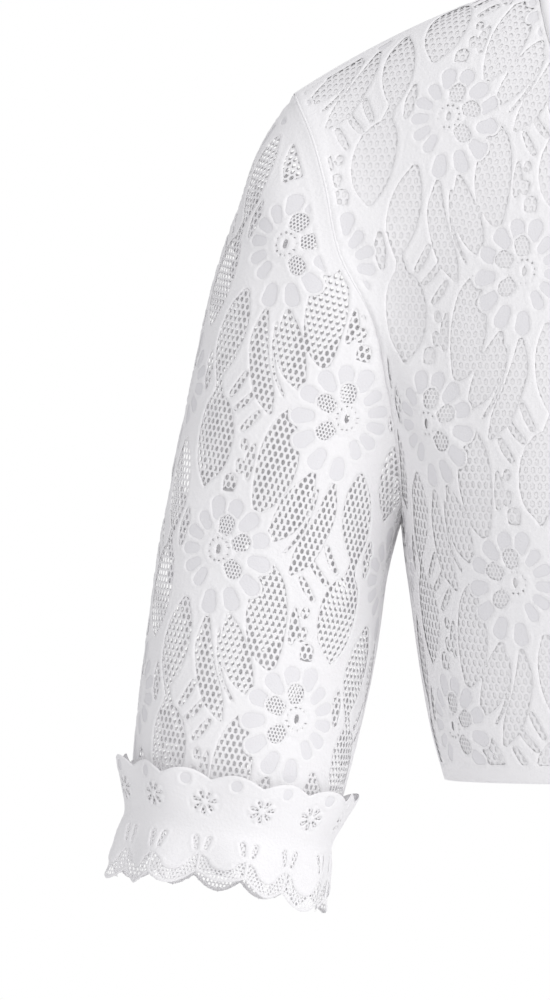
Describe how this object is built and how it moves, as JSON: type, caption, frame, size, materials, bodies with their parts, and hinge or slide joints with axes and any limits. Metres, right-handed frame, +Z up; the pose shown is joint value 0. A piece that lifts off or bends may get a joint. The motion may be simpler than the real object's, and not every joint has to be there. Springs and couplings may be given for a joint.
{
  "type": "dirndl blouse",
  "caption": "White floral lace dirndl blouse, filled out as worn, with a scoop neck, a lined bodice, a cropped hem and see-through elbow sleeves ending in a scalloped lace frill.",
  "frame": {"origin": "midway between the two shoulder points, where the wearer's shoulders hold the blouse", "axes": "+Z up, -Y towards the wearer's front, +X towards the wearer's left sleeve"},
  "size_m": [0.5826, 0.2142, 0.449],
  "materials": {
    "lace": "white net lace with raised flowers and bands, soft sheen",
    "lining": "plain white tricot, matt",
    "cuff_trim": "white scalloped lace edging, soft sheen",
    "binding": "folded white tape, matt"
  },
  "bodies": {
    "root": {"front_bodice": "lace", "back_bodice": "lace", "sleeve_left": "lace", "sleeve_right": "lace", "lining_front": "lining", "lining_back": "lining", "cuff_trim_left": "cuff_trim", "cuff_trim_right": "cuff_trim", "neck_binding": "binding"}
  },
  "joints": []
}
